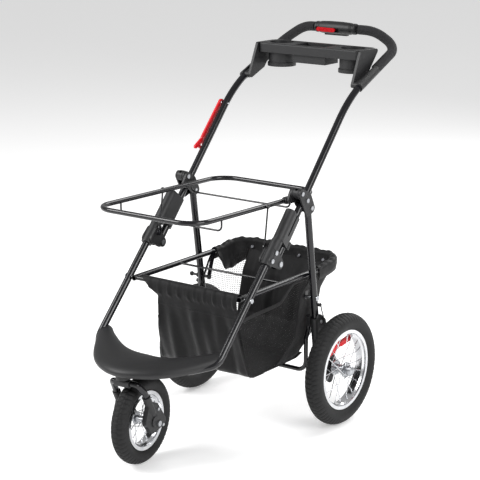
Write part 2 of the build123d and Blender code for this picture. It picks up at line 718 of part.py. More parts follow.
def build_caster():
    lip = 76.6
    bed = lip - 14.6
    count = 16
    save("kingpin", turned(kingpin()))
    save("fork_crown", turned(fork_crown()))
    save("fork_tubes", turned(fork_tube()), turned(mirrored(fork_tube())))
    save("fork_boot_right", turned(fork_boot()))
    save("fork_boot_left", turned(mirrored(fork_boot())))
    bolts = [turned(s) for b in boot_bolts() for s in (b, mirrored(b))]
    save("front_axle", turned(front_axle()), *bolts)
    save("front_tyre", place_front(tyre(FRONT_WHEEL_R, FRONT_TYRE_W, lip + 0.1)))
    save("front_rim", place_front(rim(lip, 34.2)))
    save("front_hub", place_front(hub(26.0, 14.0, 15.6, 9.5, 5.06)))
    rods = spokes(count, 14.0, 14.2, bed - 8.6, 1.1) + nipples(count, bed)
    save("front_spokes", *[place_front(s) for s in rods])


# ---- seat ring, its wires and struts ----------------------------------------------------
RING_FRONT = (AXLE_Y - 521.7, 638.2)
RING_REAR = (AXLE_Y + 8.6, 627.8)
RING_CORNER = 57.0


def ring_z(y):
    share = (y - RING_FRONT[0]) / (RING_REAR[0] - RING_FRONT[0])
    return RING_FRONT[1] + share * (RING_REAR[1] - RING_FRONT[1])


def ring_half(wall):
    points = [at(0.0, RING_FRONT), at(RING_X, RING_FRONT), at(RING_X, RING_REAR), at(0.0, RING_REAR)]
    return tube(points, [RING_CORNER, RING_CORNER], RING_R, wall)


def seat_ring():
    half = ring_half(1.5) + strut_pin()
    return half + mirrored(half)


def ring_wire(y, depth):
    """Cross wire that hangs from the ring's sides and stops the carrier tipping."""
    top = ring_z(y) - 6.3
    points = [(RING_X, y, top), (RING_X, y, top - depth), (-RING_X, y, top - depth), (-RING_X, y, top)]
    return tube(points, [13, 13], WIRE_R)


FRONT_WIRE_Y = AXLE_Y - 417.0
REAR_WIRE_Y = AXLE_Y - 124.0


def ring_knuckle():
    """Saddle on the ring that reaches up to its pivot in the hinge."""
    y = RING_PIVOT[0]
    saddle = [((y - 16, ring_z(y - 16)), 7), ((y + 16, ring_z(y + 16)), 7)]
    plate = side_plate(168.2, 174.6, [(RING_PIVOT, 11), *saddle])
    saddle = side_plate(156.0, 169.0, [((y - 18, ring_z(y - 18)), 8.5), ((y + 18, ring_z(y + 18)), 8.5)])
    whole = plate + saddle - ring_half(0.0) - ring_wire(REAR_WIRE_Y, 16.0)
    return whole - lateral_rod(150, 180, RING_PIVOT, PIN_BORE_R)


def strut_pin():
    return lateral_rod(167.0, 174.6, STRUT_TOP, 2.5) + lateral_rod(173.2, 174.6, STRUT_TOP, 4.5)


def strut():
    """Wire link from the ring to the leg bracket, with a slotted foot."""
    direction = (STRUT_LOW[0] - STRUT_TOP[0], STRUT_LOW[1] - STRUT_TOP[1])
    length = math.hypot(*direction)
    unit = (direction[0] / length, direction[1] / length)
    ends = (along(STRUT_TOP, unit, 4), along(STRUT_TOP, unit, length - 14))
    wire = tube([at(170.7, end) for end in ends], None, 2.2)
    eye = side_plate(168.9, 172.5, [(STRUT_TOP, 5.6)])
    foot_ends = (along(STRUT_TOP, unit, length - 10), along(STRUT_TOP, unit, length + 4))
    slot_ends = (along(STRUT_TOP, unit, length - 9), along(STRUT_TOP, unit, length + 3))
    foot = side_plate(168.9, 172.5, [(end, 6.2) for end in foot_ends])
    slot = side_plate(160, 180, [(end, 3.2) for end in slot_ends])
    return wire + eye + foot - slot - lateral_rod(160, 180, STRUT_TOP, 2.56)


# ---- basket frame and basket ----------------------------------------------------------------
RAIL_Z = RAIL_FRONT[1]
HOOP_REAR = (AXLE_Y + 113.0, 428.0)


def side_rail():
    """Hollow side rail: flattened nose at the leg, open rear end for the hoop."""
    return tube([(RAIL_X, RAIL_FRONT[0] - 9, RAIL_Z), (RAIL_X, AXLE_Y - 12, RAIL_Z)], None, RAIL_R, 1.5)


def basket_hoop():
    points = [(RAIL_X, AXLE_Y - 50, RAIL_Z), (RAIL_X, AXLE_Y - 8, RAIL_Z), at(RAIL_X, HOOP_REAR)]
    points += [(-p[0], p[1], p[2]) for p in reversed(points)]
    return tube(points, [60, 60, 60, 60], RAIL_R - 1.5)


def basket_bar(y, radius):
    """Cross bar welded between the two side rails."""
    rail = tube([(RAIL_X, RAIL_FRONT[0] - 9, RAIL_Z), (RAIL_X, AXLE_Y - 12, RAIL_Z)], None, RAIL_R)
    return lateral_rod(-168.0, 168.0, (y, RAIL_Z), radius) - rail - mirrored(rail)


def rail_link():
    link = side_plate(160.8, 164.0, [(RAIL_REAR, 7), (LINK_LOW, 7)])
    return link - lateral_rod(150, 170, LINK_LOW, PIN_BORE_R)


def link_head():
    return lateral_rod(158.8, 160.8, RAIL_REAR, 5.0)


BASKET_X = 157.0
SHEET = 1.6


def basket_outline(inset):
    """Side view of the hanging basket, front lip to rear lip."""
    return [
        (AXLE_Y - 345.6 + inset, 421), (AXLE_Y - 299 + inset, 192 + inset),
        (AXLE_Y - 288 + inset, 186 + inset),
        (AXLE_Y - 62, 186 + inset), (AXLE_Y - 24 - inset, 196 + inset), (AXLE_Y + 20 - inset, 240 + inset),
        (AXLE_Y + 33 - inset, 294), (AXLE_Y + 51 - inset, 360), (AXLE_Y + 106.9 - inset, 428),
    ]


def basket_plan(inset):
    """Tall block with the basket's plan: tight front corners, broad rear ones."""
    front = AXLE_Y - 360.0
    rear = AXLE_Y + 106.9 - inset
    half = BASKET_X - inset
    corners = Polyline((-half, front), (half, front), (half, rear), (-half, rear), close=True)
    block = extrude(Plane.XY.offset(100) * make_face(corners), 450)
    upright = block.edges().filter_by(Axis.Z).group_by(Axis.Y)[-1]
    return fillet(upright, 54.0 - inset)


def basket():
    """Cloth tub with scooped side hems, hung from the rails, bar and hoop."""
    top = 500.0
    outer = basket_outline(0.0)
    inner = basket_outline(SHEET)
    inner[0] = (inner[0][0], top)
    inner[-1] = (inner[-1][0], top)
    tub = extrude(Plane.YZ.offset(-BASKET_X) * make_face(Polyline(*outer, close=True)), 2 * BASKET_X)
    tub &= basket_plan(0.0)
    room = extrude(Plane.YZ.offset(-BASKET_X) * make_face(Polyline(*inner, close=True)), 2 * BASKET_X)
    room &= basket_plan(SHEET)
    scoop = make_face(Polyline(
        (AXLE_Y - 331, 352), (AXLE_Y - 120, 364), (AXLE_Y - 92, 384), (AXLE_Y - 82, 398), (AXLE_Y - 20, 403),
        (AXLE_Y + 30, 406), (AXLE_Y + 84, 412), (AXLE_Y + 84, top), (AXLE_Y - 331, top), close=True))
    sides = extrude(Plane.YZ.offset(-200) * scoop, 400)
    return tub - room - sides


def basket_snaps():
    """Press studs that close the hem flap round the hoop."""
    studs = []
    for x in (-120.0, -40.0, 40.0, 120.0):
        face = Pos(x, AXLE_Y + 101.0, 412.0) * Rot(X=-39) * Pos(0, -3.4, 0) * Rot(X=90)
        studs.append(face * Cylinder(4.5, 1.6))
    return studs


# ---- build and save -----------------------------------------------------------------------------
os.makedirs("parts", exist_ok=True)

save_pair("rear_leg", rear_leg())
save("lower_stay", rear_stay())
save_pair("axle_bracket", axle_bracket())
save_both("rear_axles", rear_axle())
save_both("brake_housings", brake_housing())
save_pair("brake_pedal", brake_pedal())
save_both("brake_rods", brake_rod(), rod_clip())
rivets = bracket_rivets()
save("rear_leg_rivets", link_rivet(), *rivets, *[mirrored(r) for r in rivets])
save("storage_knob", storage_knob())
build_rear_wheel()

save("handle_tube", handle_tube())
save_pair("grip", grip())
save("release_housing", release_housing())
save("release_button", release_button())
save("release_trigger", release_trigger())
build_console()
save("hinge_plates_right", hinge_plate_inner(), hinge_plate_outer())
save("hinge_plates_left", mirrored(hinge_plate_inner()), mirrored(hinge_plate_outer()))
save_both("hinge_drums", hinge_drum())
pins = hinge_pins()
save("hinge_pins", latch_pin(), *pins, *[mirrored(p) for p in pins])
save("storage_latch", storage_latch())
save_pair("fold_sleeve", fold_sleeve())

save("front_leg_tube", front_leg_tube())
save_pair("leg_bracket", leg_bracket())
save_both("front_leg_pins", *leg_bracket_pins(), rail_rivet(), nose_bolt())
save("nose_cap", nose_cap())
build_caster()

save("seat_ring", seat_ring())
save("ring_wires", ring_wire(FRONT_WIRE_Y, 26.0), ring_wire(REAR_WIRE_Y, 16.0))
save_both("ring_knuckles", ring_knuckle())
save_both("struts", strut())

save_both("side_rails", side_rail())
save("basket_hoop", basket_hoop())
save("basket_bars", basket_bar(AXLE_Y - 352, 6.0), basket_bar(AXLE_Y - 170, 3.0))
save_both("rail_links", rail_link(), link_head())
save("basket", basket())
save("basket_snaps", *basket_snaps())
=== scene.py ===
import json
import math
import bpy
import numpy as np
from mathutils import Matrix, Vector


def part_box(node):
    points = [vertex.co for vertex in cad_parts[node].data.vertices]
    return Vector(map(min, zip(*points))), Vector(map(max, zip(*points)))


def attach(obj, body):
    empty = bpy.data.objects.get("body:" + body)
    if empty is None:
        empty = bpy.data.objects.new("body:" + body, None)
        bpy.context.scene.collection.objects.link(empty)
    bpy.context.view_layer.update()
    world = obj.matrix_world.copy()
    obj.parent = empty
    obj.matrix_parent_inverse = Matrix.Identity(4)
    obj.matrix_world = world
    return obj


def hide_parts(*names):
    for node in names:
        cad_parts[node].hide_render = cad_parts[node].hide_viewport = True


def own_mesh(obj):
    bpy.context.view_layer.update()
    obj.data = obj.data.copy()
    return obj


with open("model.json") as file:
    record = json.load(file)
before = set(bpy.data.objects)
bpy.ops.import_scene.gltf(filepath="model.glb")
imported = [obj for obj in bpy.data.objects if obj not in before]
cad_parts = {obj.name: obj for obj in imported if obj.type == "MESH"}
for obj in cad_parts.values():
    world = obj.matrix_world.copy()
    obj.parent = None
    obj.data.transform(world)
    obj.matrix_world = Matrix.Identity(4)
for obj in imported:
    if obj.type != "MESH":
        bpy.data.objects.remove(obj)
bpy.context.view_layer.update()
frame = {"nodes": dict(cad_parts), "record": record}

# ---- camera and studio ---------------------------------------------------------------
# A long lens a few metres away, looking slightly down at the stroller's front
# corner. The floor is plain and pale, and two large soft boxes light it.
VIEW_AZIMUTH = math.radians(36.4)
VIEW_ELEVATION = math.radians(14.3)
VIEW_DISTANCE = 4.1075
VIEW_CENTRE = np.array([0.0, 0.0188, 0.4971])

view_direction = np.array([
    math.cos(VIEW_ELEVATION) * math.sin(VIEW_AZIMUTH),
    -math.cos(VIEW_ELEVATION) * math.cos(VIEW_AZIMUTH),
    math.sin(VIEW_ELEVATION),
])
camera_data = bpy.data.cameras.new("camera")
camera_data.lens = 115.7
camera_data.sensor_width = 36.0
camera = bpy.data.objects.new("camera", camera_data)
camera.location = VIEW_CENTRE + VIEW_DISTANCE * view_direction
camera.rotation_euler = (math.pi / 2 - VIEW_ELEVATION, 0.0, VIEW_AZIMUTH)
bpy.context.scene.collection.objects.link(camera)
bpy.context.scene.camera = camera
bpy.context.scene.view_settings.view_transform = "Standard"


def linear(colour):
    """sRGB hex to linear RGBA: the inverse of the display's transfer curve."""
    channels = np.array([int(colour[i:i + 2], 16) for i in (1, 3, 5)]) / 255.0
    bright = ((channels + 0.055) / 1.055) ** 2.4
    return (*np.where(channels <= 0.04045, channels / 12.92, bright), 1.0)


def add_node(tree, kind, links=None, **settings):
    """Adds a node; links maps an input's name to a socket to join or a value to set."""
    made = tree.nodes.new(kind)
    for name, value in settings.items():
        setattr(made, name, value)
    for name, value in (links or {}).items():
        if isinstance(value, bpy.types.NodeSocket):
            tree.links.new(value, made.inputs[name])
        else:
            made.inputs[name].default_value = value
    return made


def soft_box(name, place, aim, size, power):
    """Square area light that points from place at aim."""
    data = bpy.data.lights.new(name, "AREA")
    data.size = size
    data.energy = power
    lamp = bpy.data.objects.new(name, data)
    toward = np.array(aim) - np.array(place)
    flat = math.hypot(toward[0], toward[1])
    lamp.location = place
    lamp.rotation_euler = (math.atan2(flat, -toward[2]), 0.0, math.atan2(-toward[0], toward[1]))
    bpy.context.scene.collection.objects.link(lamp)


soft_box("key light", (-2.2, -2.6, 3.0), (0.0, 0.0, 0.4), 2.2, 150.0)
soft_box("side light", (3.2, -0.6, 2.0), (0.0, 0.0, 0.4), 1.8, 75.0)
soft_box("back light", (0.6, 3.2, 2.6), (0.0, 0.0, 0.6), 2.4, 90.0)

# The room is white to the eye, but lights the object less than the soft boxes do.
ROOM_LIGHT = 0.42
world = bpy.data.worlds.new("studio")
world.use_nodes = True
room = world.node_tree
room.nodes.clear()
seen = add_node(room, "ShaderNodeLightPath")
level = add_node(room, "ShaderNodeMapRange", {
    "Value": seen.outputs["Is Camera Ray"], "To Min": ROOM_LIGHT, "To Max": 1.0})
walls = add_node(room, "ShaderNodeBackground", {
    "Color": linear("#ffffff"), "Strength": level.outputs["Result"]})
add_node(room, "ShaderNodeOutputWorld", {"Surface": walls.outputs["Background"]})
bpy.context.scene.world = world


def surface(name, points, wrap_u=False, wrap_v=False, flip=False):
    """Grid surface from an array of (rows u, columns v, 3) points, its seams closed where it wraps."""
    rows, columns = points.shape[:2]
    u = np.arange(rows if wrap_u else rows - 1)
    v = np.arange(columns if wrap_v else columns - 1)
    low, left = np.meshgrid(u, v, indexing="ij")
    high, right = (low + 1) % rows, (left + 1) % columns
    corners = [(low, left), (high, left), (high, right), (low, right)]
    quads = np.stack([row * columns + column for row, column in corners], -1).reshape(-1, 4)
    if flip:
        quads = quads[:, ::-1]
    mesh = bpy.data.meshes.new(name)
    mesh.from_pydata(points.reshape(-1, 3).tolist(), [], quads.tolist())
    uv_layer = mesh.uv_layers.new(name="UVMap")
    step_u = np.linalg.norm(np.diff(points, axis=0), axis=-1).mean(1).cumsum()
    step_v = np.linalg.norm(np.diff(points, axis=1), axis=-1).mean(0).cumsum()
    along_u = np.concatenate([[0.0], step_u, [step_u[-1] + step_u[0]]])
    along_v = np.concatenate([[0.0], step_v, [step_v[-1] + step_v[0]]])
    corners_u = np.stack([low, low + 1, low + 1, low], -1).reshape(-1, 4)
    corners_v = np.stack([left, left, left + 1, left + 1], -1).reshape(-1, 4)
    if flip:
        corners_u, corners_v = corners_u[:, ::-1], corners_v[:, ::-1]
    uv = np.stack([along_u[corners_u], along_v[corners_v]], -1)
    uv_layer.data.foreach_set("uv", uv.reshape(-1))
    mesh.shade_smooth()
    piece = bpy.data.objects.new(name, mesh)
    bpy.context.scene.collection.objects.link(piece)
    return piece


def new_material(name):
    """A material with a Principled surface; returns it, its tree and the shader node."""
    material = bpy.data.materials.new(name)
    material.use_nodes = True
    tree = material.node_tree
    tree.nodes.clear()
    shader = add_node(tree, "ShaderNodeBsdfPrincipled")
    add_node(tree, "ShaderNodeOutputMaterial", {"Surface": shader.outputs["BSDF"]})
    return material, tree, shader


def sweep_of_paper():
    """Floor that runs back a long way: a single flat quad."""
    x, y = np.meshgrid(np.array([-14.0, 14.0]), np.array([-14.0, 14.0]), indexing="ij")
    return np.stack([x, y, np.full_like(x, -0.0006)], -1)


paper, _, paper_shader = new_material("matt white paper")
paper_shader.inputs["Base Color"].default_value = linear("#f6f6f6")
paper_shader.inputs["Roughness"].default_value = 0.9
paper_shader.inputs["Emission Color"].default_value = linear("#ffffff")
paper_shader.inputs["Emission Strength"].default_value = 0.3
floor = surface("floor", sweep_of_paper())
floor.data.materials.append(paper)

# ---- frame tubes ---------------------------------------------------------------------
# Bent steel tube, 19 mm on the handle and legs and thinner on the ring and basket
# frame, with a gloss black powder coat. The coat levels to a faint orange peel.


def mottle(tree, scale, detail, low, high):
    """Noise over Object coordinates, remapped to a colour ramp between two sRGB colours."""
    place = add_node(tree, "ShaderNodeTexCoord")
    noise = add_node(tree, "ShaderNodeTexNoise", {
        "Vector": place.outputs["Object"], "Scale": scale, "Detail": detail, "Roughness": 0.6})
    ramp = add_node(tree, "ShaderNodeValToRGB", {"Fac": noise.outputs["Fac"]})
    ramp.color_ramp.elements[0].position = 0.3
    ramp.color_ramp.elements[0].color = linear(low)
    ramp.color_ramp.elements[1].position = 0.7
    ramp.color_ramp.elements[1].color = linear(high)
    return place, noise, ramp


powder_coat, tree, shader = new_material("gloss black powder coat on steel")
place, noise, ramp = mottle(tree, 18.0, 3.0, "#07070a", "#0d0c12")
tree.links.new(ramp.outputs["Color"], shader.inputs["Base Color"])
peel = add_node(tree, "ShaderNodeTexNoise", {
    "Vector": place.outputs["Object"], "Scale": 420.0, "Detail": 2.0})
bump = add_node(tree, "ShaderNodeBump", {
    "Height": peel.outputs["Fac"], "Strength": 0.12, "Distance": 0.0006})
tree.links.new(bump.outputs["Normal"], shader.inputs["Normal"])
shader.inputs["Roughness"].default_value = 0.22
shader.inputs["Specular IOR Level"].default_value = 0.42
shader.inputs["Coat Weight"].default_value = 0.15
shader.inputs["Coat Roughness"].default_value = 0.10

# ---- moulded black parts -------------------------------------------------------------
# Glass-filled nylon mouldings: hinge plates, sleeves, brackets, nose cap, tray and
# release barrel. A spark-eroded grain leaves them dark grey and half matt.
nylon, tree, shader = new_material("glass-filled nylon, spark grain")
place, noise, ramp = mottle(tree, 9.0, 4.0, "#121213", "#1b1b1d")
tree.links.new(ramp.outputs["Color"], shader.inputs["Base Color"])
grain = add_node(tree, "ShaderNodeTexNoise", {
    "Vector": place.outputs["Object"], "Scale": 900.0, "Detail": 3.0})
bump = add_node(tree, "ShaderNodeBump", {
    "Height": grain.outputs["Fac"], "Strength": 0.35, "Distance": 0.0008})
tree.links.new(bump.outputs["Normal"], shader.inputs["Normal"])
worn = add_node(tree, "ShaderNodeMapRange", {"Value": noise.outputs["Fac"], "To Min": 0.42, "To Max": 0.58})
tree.links.new(worn.outputs["Result"], shader.inputs["Roughness"])

# ---- foam grips ----------------------------------------------------------------------
# EVA foam sleeves pushed over the bend of each arm: closed cells give a dull,
# finely pitted charcoal skin.
foam, tree, shader = new_material("charcoal EVA foam")
place, noise, ramp = mottle(tree, 240.0, 6.0, "#121213", "#242427")
tree.links.new(ramp.outputs["Color"], shader.inputs["Base Color"])
cells = add_node(tree, "ShaderNodeTexVoronoi", {"Vector": place.outputs["Object"], "Scale": 520.0})
bump = add_node(tree, "ShaderNodeBump", {
    "Height": cells.outputs["Distance"], "Strength": 0.7, "Distance": 0.0009})
tree.links.new(bump.outputs["Normal"], shader.inputs["Normal"])
shader.inputs["Roughness"].default_value = 0.88

# ---- red controls --------------------------------------------------------------------
# ABS mouldings that the hand or foot works: latch, sliding button and brake pedals.
red_abs, tree, shader = new_material("red ABS, satin moulded")
place, noise, ramp = mottle(tree, 14.0, 3.0, "#c9101c", "#d81522")
tree.links.new(ramp.outputs["Color"], shader.inputs["Base Color"])
grain = add_node(tree, "ShaderNodeTexNoise", {
    "Vector": place.outputs["Object"], "Scale": 1100.0, "Detail": 2.0})
bump = add_node(tree, "ShaderNodeBump", {
    "Height": grain.outputs["Fac"], "Strength": 0.15, "Distance": 0.0005})
tree.links.new(bump.outputs["Normal"], shader.inputs["Normal"])
shader.inputs["Roughness"].default_value = 0.36

# ---- chrome rims and spokes ----------------------------------------------------------
# Rolled steel rims and drawn wire spokes, chrome plated; rolling leaves faint
# streaks, so the gloss varies a little.
chrome, tree, shader = new_material("chrome plate on rolled steel")
place, noise, ramp = mottle(tree, 30.0, 4.0, "#cfd0d3", "#e2e3e5")
tree.links.new(ramp.outputs["Color"], shader.inputs["Base Color"])
streak = add_node(tree, "ShaderNodeMapRange", {"Value": noise.outputs["Fac"], "To Min": 0.08, "To Max": 0.24})
tree.links.new(streak.outputs["Result"], shader.inputs["Roughness"])
shader.inputs["Metallic"].default_value = 1.0

# ---- rivets, pins and bolts ----------------------------------------------------------
# Zinc-plated steel: pressed rivet heads, pins, axles and snap studs. Zinc is
# greyer and duller than chrome, with a fine tumbled mottle.
zinc, tree, shader = new_material("zinc-plated steel")
place, noise, ramp = mottle(tree, 160.0, 4.0, "#9a9ca0", "#c3c5c8")
tree.links.new(ramp.outputs["Color"], shader.inputs["Base Color"])
dull = add_node(tree, "ShaderNodeMapRange", {"Value": noise.outputs["Fac"], "To Min": 0.25, "To Max": 0.42})
tree.links.new(dull.outputs["Result"], shader.inputs["Roughness"])
shader.inputs["Metallic"].default_value = 1.0

# ---- tyre rubber ---------------------------------------------------------------------
# Vulcanised natural rubber, carbon black: near black, with a paler bloom of dust
# in the grooves and a matt moulded skin.
rubber, tree, shader = new_material("vulcanised black rubber")
place, noise, ramp = mottle(tree, 60.0, 5.0, "#09090a", "#141415")
tree.links.new(ramp.outputs["Color"], shader.inputs["Base Color"])
skin = add_node(tree, "ShaderNodeTexNoise", {
    "Vector": place.outputs["Object"], "Scale": 700.0, "Detail": 3.0})
bump = add_node(tree, "ShaderNodeBump", {
    "Height": skin.outputs["Fac"], "Strength": 0.3, "Distance": 0.0006})
tree.links.new(bump.outputs["Normal"], shader.inputs["Normal"])
shader.inputs["Roughness"].default_value = 0.66
shader.inputs["Specular IOR Level"].default_value = 0.4

# ---- finish every frame node ---------------------------------------------------------
# Each node of the frame takes the finish that its material slot names.
finishes = {
    "tube_paint": powder_coat, "black_nylon": nylon, "foam": foam, "red_plastic": red_abs,
    "chrome": chrome, "zinc_steel": zinc, "tyre": rubber, "cloth": nylon,
}
brass, tree, shader = new_material("blackened brass snap")
place, noise, ramp = mottle(tree, 220.0, 3.0, "#2a2a2c", "#4a4a4d")
tree.links.new(ramp.outputs["Color"], shader.inputs["Base Color"])
shader.inputs["Roughness"].default_value = 0.3
shader.inputs["Metallic"].default_value = 1.0
for part in frame["record"]["subparts"]:
    node_object = frame["nodes"][part["node"]]
    node_object.data.materials.clear()
    finish = brass if part["node"] == "basket_snaps" else finishes[part["material_slot"]]
    node_object.data.materials.append(finish)

# ---- tyres ---------------------------------------------------------------------------
# Pneumatic tyres moulded with a blocky tread: two grooves round the crown and
# staggered cross grooves out to the shoulders. Their beads sit inside the rims.
TREAD_DEPTH = 0.0022


def tyre_points(radius, width, seat_radius, blocks):
    """Torus of section (x, r): an ellipse crown with straight bead walls; the tread sinks
    where |x| is near the crown grooves or the turn angle is near a cross groove."""
    half = width / 2
    rise = half * 0.96
    sweep_angle = np.radians(np.linspace(-136.0, 136.0, 61))
    crown_x = half * np.sin(sweep_angle)
    crown_r = radius - rise + rise * np.cos(sweep_angle)
    bead_x = np.array([0.0150, 0.0142, 0.0, -0.0142, -0.0150])
    bead_r = np.array([seat_radius - 0.0006, seat_radius - 0.004, seat_radius - 0.005,
                       seat_radius - 0.004, seat_radius - 0.0006])
    section_x = np.concatenate([crown_x, bead_x])
    section_r = np.concatenate([crown_r, bead_r])
    turn = np.linspace(0.0, 2 * math.pi, blocks * 8, endpoint=False)[:, None]
    fade = np.clip((74.0 - np.abs(np.degrees(sweep_angle))) / 8.0, 0.0, 1.0)
    shoulder = np.concatenate([fade, np.zeros(5)])
    ribs = np.clip(1.0 - np.abs(np.abs(section_x) - 0.0065) / 0.0016, 0.0, 1.0)
    phase = np.where(np.abs(section_x) < 0.0065, 0.5, np.where(section_x > 0, 0.0, 0.25))
    lean = np.abs(section_x) * 26.0
    wave = (turn * blocks / (2 * math.pi) + phase[None, :] + lean[None, :]) % 1.0
    cross = np.clip(1.0 - (np.abs(wave - 0.5) - 0.10) / 0.06, 0.0, 1.0)
    groove = np.maximum(ribs[None, :], cross) * shoulder[None, :]
    reach = section_r[None, :] - TREAD_DEPTH * groove
    lateral = np.broadcast_to(section_x[None, :], reach.shape)
    return np.stack([lateral, reach * np.cos(turn), reach * np.sin(turn)], -1)


def middle_of(node):
    low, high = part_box(node)
    return (np.array(low) + np.array(high)) / 2


def add_tyre(name, node, body, radius, width, seat_radius, blocks, turned):
    """Tyre on its wheel's centre, its axle turned about Z by an angle."""
    points = tyre_points(radius, width, seat_radius, blocks)
    c, s = math.cos(turned), math.sin(turned)
    spin = np.array([[c, -s, 0.0], [s, c, 0.0], [0.0, 0.0, 1.0]])
    piece = surface(name, points @ spin.T + middle_of(node), True, True)
    piece.data.materials.append(rubber)
    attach(piece, body)
    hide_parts(node)


for side in ("right", "left"):
    add_tyre("rear_treaded_tyre_" + side, "rear_tyre_" + side, "rear_wheel_" + side,
             radius=0.1525, width=0.050, seat_radius=0.1091, blocks=68, turned=0.0)
add_tyre("front_treaded_tyre", "front_tyre", "front_wheel",
         radius=0.1142, width=0.044, seat_radius=0.0767, blocks=52, turned=math.radians(5.2))

# ---- basket cloths -------------------------------------------------------------------
# Black oxford nylon, sewn from a front-and-floor strip and a rear wall that turns the
# two back corners, with net sides between them. It hangs from the bar, rails and hoop.
AXLE_Y = middle_of("rear_tyre_right")[1]
HOOP_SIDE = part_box("basket_hoop")[1][0] - 0.006
HOOP_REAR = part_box("basket_hoop")[1][1] - 0.006
HOOP_CORNER = 0.060
RAIL_Z = 0.417

oxford, tree, shader = new_material("black oxford nylon")
coords = add_node(tree, "ShaderNodeTexCoord")
place, noise, ramp = mottle(tree, 26.0, 4.0, "#070708", "#0f0e10")
tree.links.new(ramp.outputs["Color"], shader.inputs["Base Color"])
# Threads lie 0.8 mm apart in the cloth and are drawn 1.6 mm apart, so that they show.
weave_u, weave_v = [
    add_node(tree, "ShaderNodeTexWave", {"Vector": coords.outputs["UV"], "Scale": 98.0, "Distortion": 0.6},
             bands_direction=direction) for direction in ("X", "Y")]
weave = add_node(tree, "ShaderNodeMath", {0: weave_u.outputs["Fac"], 1: weave_v.outputs["Fac"]},
                 operation="MULTIPLY")
crease = add_node(tree, "ShaderNodeTexNoise", {
    "Vector": place.outputs["Object"], "Scale": 55.0, "Detail": 4.0})
bump_weave = add_node(tree, "ShaderNodeBump", {
    "Height": weave.outputs["Value"], "Strength": 0.35, "Distance": 0.0006})
bump = add_node(tree, "ShaderNodeBump", {
    "Height": crease.outputs["Fac"], "Normal": bump_weave.outputs["Normal"],
    "Strength": 0.4, "Distance": 0.003})
tree.links.new(bump.outputs["Normal"], shader.inputs["Normal"])
shader.inputs["Roughness"].default_value = 0.62
shader.inputs["Sheen Weight"].default_value = 0.06
shader.inputs["Specular IOR Level"].default_value = 0.3
shader.inputs["Sheen Roughness"].default_value = 0.4

# Knitted polyester net: open cells about 2 mm across, drawn 3 mm, with dark threads.
net, tree, shader = new_material("black knitted polyester net")
coords = add_node(tree, "ShaderNodeTexCoord")
shader.inputs["Base Color"].default_value = linear("#0e0d0e")
shader.inputs["Roughness"].default_value = 0.7
threads = []
for direction in ("X", "Y"):
    threads.append(add_node(tree, "ShaderNodeTexWave", {
        "Vector": coords.outputs["UV"], "Scale": 52.0, "Distortion": 0.8}, bands_direction=direction))
crossed = add_node(tree, "ShaderNodeMath", {0: threads[0].outputs["Fac"], 1: threads[1].outputs["Fac"]},
                   operation="MAXIMUM")
cover = add_node(tree, "ShaderNodeMapRange", {
    "Value": crossed.outputs["Value"], "From Min": 0.90, "From Max": 0.97})
tree.links.new(cover.outputs["Result"], shader.inputs["Alpha"])
bump = add_node(tree, "ShaderNodeBump", {
    "Height": crossed.outputs["Value"], "Strength": 0.4, "Distance": 0.0006})
tree.links.new(bump.outputs["Normal"], shader.inputs["Normal"])


def resample(points, count):
    """Points of a polyline respaced by arc length, its corners eased by a running mean."""
    points = np.array(points, float)
    length = np.concatenate([[0.0], np.linalg.norm(np.diff(points, axis=0), axis=1).cumsum()])
    even = np.linspace(0.0, length[-1], count)
    line = np.stack([np.interp(even, length, points[:, i]) for i in range(points.shape[1])], -1)
    padded = np.concatenate([line[:1], line[:1], line, line[-1:], line[-1:]])
    eased = sum(padded[i:i + count] for i in range(5)) / 5
    eased[0], eased[-1] = line[0], line[-1]
    return eased


BAR_AXIS = np.array([-0.3502, 0.417])
TUNNEL_R = 0.0118
tunnel_turn = np.radians(np.linspace(-70.0, 196.0, 16))[:, None]
FRONT_DROP = np.concatenate([      # depth from the rear axle, height
    BAR_AXIS + TUNNEL_R * np.concatenate([np.cos(tunnel_turn), np.sin(tunnel_turn)], 1),
    [(-0.3632, 0.404), (-0.3622, 0.395), (-0.3560, 0.3835), (-0.3550, 0.372), (-0.348, 0.350),
     (-0.334, 0.300), (-0.317, 0.250), (-0.302, 0.206), (-0.292, 0.191), (-0.270, 0.1835),
     (-0.160, 0.1825), (-0.070, 0.1835), (-0.046, 0.1930)],
])
HEM_SEAM_Z = 0.3835
LEFT_EDGE = np.array([
    (0.184, -0.134), (0.216, -0.124), (0.316, -0.097), (0.384, -0.092), (0.404, -0.118), (0.426, -0.147)])
RIGHT_EDGE = np.array([(0.184, 0.150), (0.216, 0.156), (0.316, 0.160), (0.391, 0.165), (0.426, 0.166)])


def front_y(z):
    """Depth of the front cloth at a height, from its drop outline."""
    wall_part = FRONT_DROP[24:15:-1]
    return np.interp(z, wall_part[:, 1], wall_part[:, 0])


